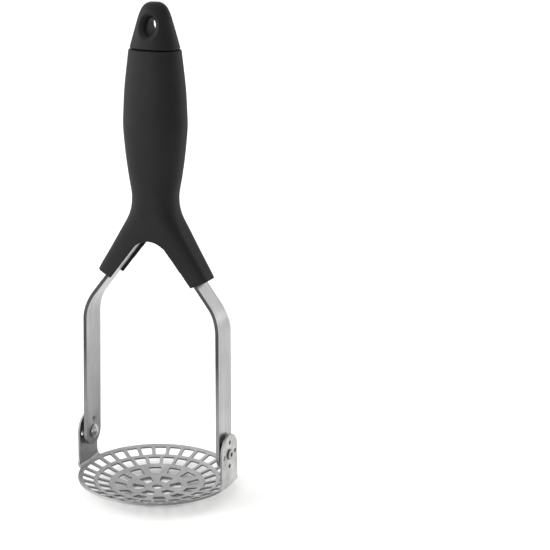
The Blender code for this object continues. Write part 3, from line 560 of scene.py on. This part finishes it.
def buildArm(sideName, side):
    bm = bmesh.new()
    foot, bend, upper, top = stripCorners()
    lower = roundedCorner(foot, bend, upper, arm["bendRadius"] * mm, arm["bendSteps"])
    rows = []
    for i, point in enumerate(lower):
        share = i / (len(lower) - 1)
        ease = share * share * (3 - 2 * share)
        rows.append((point, (arm["width"] + (arm["tangWidth"] - arm["width"]) * ease) / 2 * mm))
    tang = roundedCorner(bend, upper, top, arm["tangRadius"] * mm, arm["tangSteps"])
    rows += [(p, arm["tangWidth"] / 2 * mm) for p in tang + [top]]
    columns = arm["columns"]
    made = [[bm.verts.new((side * p.x, (i / columns * 2 - 1) * half, p.y)) for i in range(columns + 1)]
            for p, half in rows]
    for below, above in zip(made, made[1:]):
        bridge(bm, below, above, False)
    climb = (bend - foot).normalized()
    outward = Vector((climb.y, -climb.x))

    def spot(y, along, lift=0.0):
        place = foot + climb * along + outward * lift
        return Vector((side * place.x, y, place.y))

    half = arm["width"] / 2 * mm
    angles = [pi + pi * i / arm["footSteps"] for i in range(arm["footSteps"] + 1)]
    sole = [bm.verts.new(spot(half * cos(a), half + half * sin(a))) for a in angles]
    edges = loopEdges(bm, sole + made[0][::-1])
    edges += loopEdges(bm, ringOf(bm, (0, half), arm["rivetHole"] * mm, arm["rivetAround"], spot))
    centre, reach = (0, half + arm["dimpleAt"] * mm), arm["dimpleRadius"] * mm
    rim = ringOf(bm, centre, reach, arm["dimpleAround"], spot)
    edges += loopEdges(bm, rim)
    bmesh.ops.triangle_fill(bm, use_beauty=True, edges=edges, normal=(side, 0, 0))
    for step in range(arm["dimpleSteps"] - 1, 0, -1):
        share = step / arm["dimpleSteps"]
        lift = arm["dimpleHeight"] * mm * (1 - share ** 2) ** 2
        ring = ringOf(bm, centre, reach * share, arm["dimpleAround"], lambda y, z: spot(y, z, lift))
        bridge(bm, rim, ring)
        rim = ring
    bm.faces.new(rim)
    faceOut(bm, lambda at: Vector((-side, 0, 0)))
    piece = newPiece(sideName + "ArmStrip", bm, stripSteel, "handle", sideName + "_arm")
    addSheet(piece, arm["thickness"] * mm, arm["edge"] * mm)


for sideName, side in (("left", -1), ("right", 1)):
    buildArm(sideName, side)
print("arms made")


# Rivets and washers, turned about the hinge line
rivet = {"shank": 2.0, "head": 4.0, "headHeight": 1.8, "headEdge": (0.1, 0.12), "headSteps": 12,
         "roll": 3.1, "rollHeight": 0.9, "rollSteps": 10, "lipShare": 0.6, "lipSteps": 5,
         "hollow": 1.2, "hollowDepth": 3.0, "hollowEdge": 0.4, "hollowFloor": 0.6,
         "gap": 0.3, "washer": 4.9, "bore": 2.3, "chamfer": 0.15, "around": 48, "merge": 0.002,
         "sharp": 50.0}
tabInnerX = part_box("right_washer")[1][0] + rivet["gap"] * mm
tabOuterX = tabInnerX + plate["sheet"] * mm


def turnOnHinge(name, profile, side, material, node, closed=False):
    bm = bmesh.new()
    rings = [ringOf(bm, (0, hinge.z), r, rivet["around"], lambda y, z: (side * x, y, z)) for r, x in profile]
    for lower, upper in zip(rings, rings[1:] + (rings[:1] if closed else [])):
        bridge(bm, lower, upper)
    bmesh.ops.remove_doubles(bm, verts=bm.verts, dist=rivet["merge"] * mm)
    bmesh.ops.recalc_face_normals(bm, faces=bm.faces)
    piece = newPiece(name, bm, material, "handle", node)
    piece.data.set_sharp_from_angle(angle=radians(rivet["sharp"]))


def buildRivet(sideName, side):
    seat, rollSeat = armInnerX - rivet["gap"] * mm, tabOuterX + rivet["gap"] * mm
    head, height = rivet["head"] * mm, rivet["headHeight"] * mm
    sphere = (head ** 2 + height ** 2) / (2 * height)
    spread = asin(head / sphere)
    profile = [(sphere * sin(a), seat - height + sphere * (1 - cos(a)))
               for a in [spread * i / rivet["headSteps"] for i in range(rivet["headSteps"])]]
    edgeIn, edgeDown = (size * mm for size in rivet["headEdge"])
    profile += [(head, seat - edgeDown), (head - edgeIn, seat), (rivet["shank"] * mm, seat),
                (rivet["shank"] * mm, rollSeat)]
    bead = rivet["rollHeight"] / 2 * mm
    profile += [(rivet["roll"] * mm - bead + bead * cos(a), rollSeat + bead + bead * sin(a))
                for a in [-pi / 2 + pi * i / rivet["rollSteps"] for i in range(rivet["rollSteps"] + 1)]]
    tip, hollow, lip = rollSeat + 2 * bead, rivet["hollow"] * mm, bead * rivet["lipShare"]
    profile += [(hollow + lip * (1 - sin(a)), tip - lip * (1 - cos(a)))
                for a in [pi / 2 * i / rivet["lipSteps"] for i in range(rivet["lipSteps"] + 1)]]
    bottom = tip - rivet["hollowDepth"] * mm
    profile += [(hollow, bottom + rivet["hollowEdge"] * mm), (hollow * rivet["hollowFloor"], bottom),
                (0.0, bottom)]
    turnOnHinge(sideName + "RivetBody", profile, side, rivetSteel, sideName + "_rivet")


def buildWasher(sideName, side):
    inner, outer = armOuterX + rivet["gap"] * mm, tabInnerX - rivet["gap"] * mm
    bore, rim, cut = rivet["bore"] * mm, rivet["washer"] * mm, rivet["chamfer"] * mm
    profile = [(bore + cut, inner), (rim - cut, inner), (rim, inner + cut), (rim, outer - cut),
               (rim - cut, outer), (bore + cut, outer), (bore, outer - cut), (bore, inner + cut)]
    turnOnHinge(sideName + "WasherRing", profile, side, washerSteel, sideName + "_washer",
                True)


for sideName, side in (("left", -1), ("right", 1)):
    buildRivet(sideName, side)
    buildWasher(sideName, side)
print("rivets and washers made")


# Grip and cap: each section has a height, a half width, a half depth and a squareness.
# The grip's heights are above the hinge, the cap's above its own base
grip = {"sections": ((87.0, 38.9, 7.6, 6.5), (99.5, 32.3, 8.0, 6.5), (111.0, 25.2, 8.7, 6.0),
                     (120.7, 19.4, 9.5, 5.0), (129.6, 14.5, 10.1, 3.6), (134.0, 13.1, 10.2, 3.0),
                     (138.5, 12.6, 10.2, 2.7), (143.0, 12.7, 10.3, 2.6), (151.7, 14.3, 11.1, 2.5),
                     (162.7, 15.8, 12.2, 2.5), (173.5, 16.9, 12.9, 2.5), (180.1, 17.3, 13.2, 2.5),
                     (186.6, 17.1, 13.1, 2.5), (199.4, 16.4, 12.6, 2.5), (212.2, 15.0, 11.6, 2.5),
                     (220.4, 14.0, 10.9, 2.5)),
        "around": 128, "step": 1.5, "recess": 1.5, "archRadius": 12.7, "archSteps": 32, "legEnd": 94.2,
        "legTilt": 25.0, "socket": 14.0, "gap": 0.3, "voxel": 0.45, "relax": 4}
cap = {"sections": ((0.0, 13.5, 10.4, 2.5), (4.5, 12.3, 9.8, 2.4), (9.0, 11.05, 9.1, 2.3),
                    (13.0, 9.95, 8.4, 2.2), (17.0, 8.8, 7.5, 2.1), (20.0, 7.6, 6.6, 2.0),
                    (22.2, 6.1, 5.3, 2.0), (23.6, 4.2, 3.7, 2.0), (24.1, 2.6, 2.3, 2.0)),
       "around": 128, "step": 0.4, "parting": 0.5, "spigot": (7.0, 5.0, 12.0), "holeAt": 11.7,
       "holeWide": 2.7, "holeHigh": 4.2, "holeFlare": 4.2, "holeTurn": 75.0, "holeAround": 64,
       "holeSteps": 12, "voxel": 0.35, "relax": 5}
gripTopZ = hinge.z + grip["sections"][-1][0] * mm
capBaseZ = gripTopZ + cap["parting"] * mm


def sectionAt(sections, height):
    last, index = len(sections) - 2, 0
    while index < last and sections[index + 1][0] < height:
        index += 1
    low, high = sections[index], sections[index + 1]
    before, after = sections[max(index - 1, 0)], sections[min(index + 2, len(sections) - 1)]
    span = high[0] - low[0]
    t = min(max((height - low[0]) / span, 0.0), 1.0)
    values = []
    for item in (1, 2, 3):
        slopeLow = (high[item] - before[item]) / (high[0] - before[0]) * span
        slopeHigh = (after[item] - low[item]) / (after[0] - low[0]) * span
        values.append(low[item] * (2 * t ** 3 - 3 * t ** 2 + 1) + slopeLow * (t ** 3 - 2 * t ** 2 + t)
                      + high[item] * (3 * t ** 2 - 2 * t ** 3) + slopeHigh * (t ** 3 - t ** 2))
    return values


def loftBody(settings, baseZ):
    bm = bmesh.new()
    sections, around = settings["sections"], settings["around"]
    start, end = sections[0][0], sections[-1][0]
    count = round((end - start) / settings["step"])
    rings = []
    for index in range(count + 1):
        height = start + (end - start) * index / count
        wide, deep, square = sectionAt(sections, height)
        ring = []
        for step in range(around):
            c, s = cos(2 * pi * step / around), sin(2 * pi * step / around)
            reach = (abs(c) ** square + abs(s) ** square) ** (-1 / square)
            ring.append(bm.verts.new((wide * reach * c * mm, deep * reach * s * mm, baseZ + height * mm)))
        rings.append(ring)
    skinRings(bm, rings)
    bmesh.ops.recalc_face_normals(bm, faces=bm.faces)
    return bm


def toolObject(bm):
    bmesh.ops.recalc_face_normals(bm, faces=bm.faces)
    return meshObject("tool", bm)


def prism(outline, depth):
    # an outline in the XZ plane, pushed through along Y
    bm = bmesh.new()
    face = bm.faces.new([bm.verts.new((x, -depth, z)) for x, z in outline])
    made = bmesh.ops.extrude_face_region(bm, geom=[face])
    moved = [v for v in made["geom"] if isinstance(v, bmesh.types.BMVert)]
    bmesh.ops.translate(bm, verts=moved, vec=(0, 2 * depth, 0))
    return toolObject(bm)


def stripBar(points, half, inward, outward, side):
    bm = bmesh.new()
    rows = []
    for i, point in enumerate(points):
        along = (points[min(i + 1, len(points) - 1)] - points[max(i - 1, 0)]).normalized()
        normal = Vector((along.y, -along.x))
        row = []
        for offset, y in ((-inward, -half), (-inward, half), (outward, half), (outward, -half)):
            place = point + normal * offset
            row.append(bm.verts.new((side * place.x, y, place.y)))
        rows.append(row)
    skinRings(bm, rows)
    return toolObject(bm)


def ovalBar(wide, deep, lowZ, highZ):
    bm = bmesh.new()
    bmesh.ops.create_cone(bm, cap_ends=True, segments=48, radius1=1.0, radius2=1.0, depth=highZ - lowZ)
    place = Matrix.Translation((0, 0, (lowZ + highZ) / 2)) @ Matrix.Diagonal((wide, deep, 1, 1))
    bmesh.ops.transform(bm, matrix=place, verts=bm.verts)
    return toolObject(bm)


def carve(piece, steps, voxel, relax):
    # cuts and joins the tools, then rebuilds the skin so that every edge is softly moulded
    for operation, tool in steps:
        cut = piece.modifiers.new("cut", "BOOLEAN")
        cut.operation, cut.solver, cut.object = operation, "EXACT", tool
    skin = piece.modifiers.new("skin", "REMESH")
    skin.mode, skin.voxel_size, skin.use_smooth_shade = "VOXEL", voxel, True
    soft = piece.modifiers.new("soft", "SMOOTH")
    soft.factor, soft.iterations = 0.5, relax
    shown = piece.evaluated_get(bpy.context.evaluated_depsgraph_get())
    mesh = bpy.data.meshes.new_from_object(shown)
    piece.modifiers.clear()
    for material in piece.data.materials:
        if mesh.materials.find(material.name) < 0:
            mesh.materials.append(material)
    piece.data = mesh
    mesh.shade_smooth()
    for operation, tool in steps:
        bpy.data.objects.remove(tool, do_unlink=True)


def undersideX(z):
    foot, bend, upper, top = stripCorners()
    slant = radians(arm["slant"])
    return bend.x - (z - bend.y) * tan(slant) - grip["recess"] * mm / cos(slant)


def buildGrip():
    foot, bend, upper, top = stripCorners()
    slant, recess = radians(arm["slant"]), grip["recess"] * mm
    peakZ = bend.y + (bend.x - recess / cos(slant)) / tan(slant)
    radius = grip["archRadius"] * mm
    centreZ, footZ = peakZ - radius / sin(slant), hinge.z + grip["sections"][0][0] * mm - radius
    angles = [slant + (pi - 2 * slant) * i / grip["archSteps"] for i in range(grip["archSteps"] + 1)]
    outline = [(radius * cos(a), centreZ + radius * sin(a)) for a in angles]
    outline += [(-undersideX(footZ), footZ), (undersideX(footZ), footZ)]
    deep = grip["sections"][0][1] * mm
    steps = [("DIFFERENCE", prism(outline, deep))]
    gap, thick = grip["gap"] * mm, arm["thickness"] * mm
    half = arm["tangWidth"] / 2 * mm + gap
    along = Vector((-sin(slant), cos(slant)))
    tang = roundedCorner(bend, upper, top, arm["tangRadius"] * mm, arm["tangSteps"])
    slot = [tang[0] - along * arm["tangRadius"] * mm] + tang + [top + Vector((0, gap))]
    channel = [bend, upper - along * arm["tangRadius"] * mm]
    for side in (-1, 1):
        endZ = hinge.z + grip["legEnd"] * mm
        corner, tilt = Vector((undersideX(endZ), endZ)), radians(grip["legTilt"])
        out, down = Vector((cos(tilt), sin(tilt))), Vector((sin(tilt), -cos(tilt)))
        start, end = corner - out * bend.x / 2, corner + out * bend.x
        ends = [start, end, end + down * bend.x, start + down * bend.x]
        steps.append(("DIFFERENCE", prism([(side * p.x, p.y) for p in ends], deep)))
        steps.append(("DIFFERENCE", stripBar(slot, half, gap, thick + gap, side)))
        steps.append(("DIFFERENCE", stripBar(channel, half, 3 * recess, thick + gap, side)))
    wide, narrow, length = cap["spigot"]
    steps.append(("DIFFERENCE", ovalBar(wide * mm + gap, narrow * mm + gap, gripTopZ - grip["socket"] * mm,
                                        gripTopZ + grip["socket"] * mm)))
    piece = newPiece("gripBody", loftBody(grip, hinge.z), gripPlastic, "handle", "grip")
    carve(piece, steps, grip["voxel"] * mm, grip["relax"])


def hangingHole():
    # an oval throat along Y, rounded out to both faces of the cap
    bm = bmesh.new()
    flare, turn = cap["holeFlare"], radians(cap["holeTurn"])
    around, steps = cap["holeAround"], cap["holeSteps"]

    def ring(angle, outside=0.0):
        spread, drop = flare * (1 - cos(angle)), flare * (sin(turn) - sin(angle)) - outside
        mouth, verts = flare * (1 - cos(turn)), []
        for step in range(around):
            c, s = cos(2 * pi * step / around), sin(2 * pi * step / around)
            wide, deep, square = sectionAt(cap["sections"], cap["holeAt"] + (cap["holeHigh"] + mouth) * s)
            face = deep * (1 - (abs(c) * (cap["holeWide"] + mouth) / wide) ** square) ** (1 / square)
            height = cap["holeAt"] + (cap["holeHigh"] + spread) * s
            place = ((cap["holeWide"] + spread) * c * mm, (drop - face) * mm, capBaseZ + height * mm)
            verts.append(bm.verts.new(place))
        return verts

    rings = [ring(turn, cap["sections"][0][2])] + [ring(turn * (1 - i / steps)) for i in range(steps + 1)]
    for half in rings[::-1]:
        rings.append([bm.verts.new((v.co.x, -v.co.y, v.co.z)) for v in half])
    skinRings(bm, rings)
    return toolObject(bm)


def buildCap():
    wide, narrow, length = cap["spigot"]
    spigot = ovalBar(wide * mm, narrow * mm, capBaseZ - length * mm, capBaseZ + 2 * cap["step"] * mm)
    piece = newPiece("endCapBody", loftBody(cap, capBaseZ), capPlastic, "handle", "end_cap")
    carve(piece, [("UNION", spigot), ("DIFFERENCE", hangingHole())], cap["voxel"] * mm, cap["relax"])


buildGrip()
buildCap()
print("grip and end cap made")


# Floor, light and camera
floorMesh = bpy.data.meshes.new("floorBoard")
reach = floorLook["size"] / 2
floorCorners = [(x * reach, y * reach, 0) for x, y in ((-1, -1), (1, -1), (1, 1), (-1, 1))]
floorMesh.from_pydata(floorCorners, [], [(0, 1, 2, 3)])
floorBoard = bpy.data.objects.new("floorBoard", floorMesh)
scene.collection.objects.link(floorBoard)
floorBoard.data.materials.append(paintedBoard())
floorBoard.location.z = cadBounds[0].z - floorLook["dropMm"] * mm

# The world's strength goes from the first to the second as the direction's Z climbs through rise.
# A box has a place, a width and height in metres, and a power in watts
lights = {"world": {"rise": (0.10, 0.20), "strength": (1.1, 0.47)},
          "sun": {"energy": 2.0, "angle": 120.0, "from": (-0.45, -0.45, 1.3)},
          "boxes": {"leftBox": ((-1.1, -0.7, 0.5), (1.8, 1.0), 17.0),
                    "rightBox": ((1.3, 0.1, 0.5), (1.2, 0.9), 1.6),
                    "backLeftBox": ((-1.0, 1.9, 0.9), (2.2, 1.7), 7.5),
                    "backRightBox": ((0.95, 1.9, 0.7), (1.4, 1.3), 5.0)}}
world = bpy.data.worlds.new("studioWorld")
scene.world = world
world.use_nodes = True
# a pale wall closes the room off at the horizon, and a dimmer ceiling lies above it
sky = world.node_tree
direction = addNode(sky, "ShaderNodeTexCoord")
height = addNode(sky, "ShaderNodeSeparateXYZ", links={0: direction.outputs["Generated"]})
glow = addNode(sky, "ShaderNodeMapRange", rangeOf(lights["world"]["rise"], lights["world"]["strength"]),
               {"Value": height.outputs["Z"]})
backdrop = sky.nodes["Background"]
backdrop.inputs["Color"].default_value = (1.0, 1.0, 1.0, 1.0)
sky.links.new(glow.outputs[0], backdrop.inputs["Strength"])
middle = (cadBounds[0] + cadBounds[1]) / 2


def aim(item, place):
    item.location = place
    item.rotation_mode = "QUATERNION"
    item.rotation_quaternion = (middle - Vector(place)).to_track_quat("-Z", "Y")


for name, (place, size, power) in lights["boxes"].items():
    lamp = bpy.data.lights.new(name, "AREA")
    lamp.shape, lamp.size, lamp.size_y, lamp.energy = "RECTANGLE", *size, power
    item = bpy.data.objects.new(name, lamp)
    scene.collection.objects.link(item)
    item.visible_camera = False
    aim(item, place)
sun = bpy.data.lights.new("softSun", "SUN")
sun.energy, sun.angle = lights["sun"]["energy"], radians(lights["sun"]["angle"])
sunItem = bpy.data.objects.new("softSun", sun)
scene.collection.objects.link(sunItem)
aim(sunItem, lights["sun"]["from"])

camera = {"azimuth": 22.962, "elevation": 15.582, "roll": 0.85, "distance": 875.5, "lens": 108.5,
          "sensor": 36.0, "clip": (0.01, 80.0), "target": (70.40, 0.0, 134.10)}
turn, rise, lean = (radians(camera[k]) for k in ("azimuth", "elevation", "roll"))
back = Vector((sin(turn) * cos(rise), -cos(turn) * cos(rise), sin(rise)))
right = Vector((cos(turn), sin(turn), 0))
up = back.cross(right)
tiltedRight, tiltedUp = right * cos(lean) + up * sin(lean), up * cos(lean) - right * sin(lean)
cameraData = bpy.data.cameras.new("studioCamera")
cameraData.lens, cameraData.sensor_width = camera["lens"], camera["sensor"]
cameraData.clip_start, cameraData.clip_end = camera["clip"]
cameraItem = bpy.data.objects.new("studioCamera", cameraData)
scene.collection.objects.link(cameraItem)
place = Vector(camera["target"]) * mm + back * camera["distance"] * mm
turned = Matrix((tiltedRight, tiltedUp, back)).transposed().to_4x4()
cameraItem.matrix_world = Matrix.Translation(place) @ turned
scene.camera = cameraItem
scene.view_settings.view_transform = "Standard"
print("floor, lights and camera made")
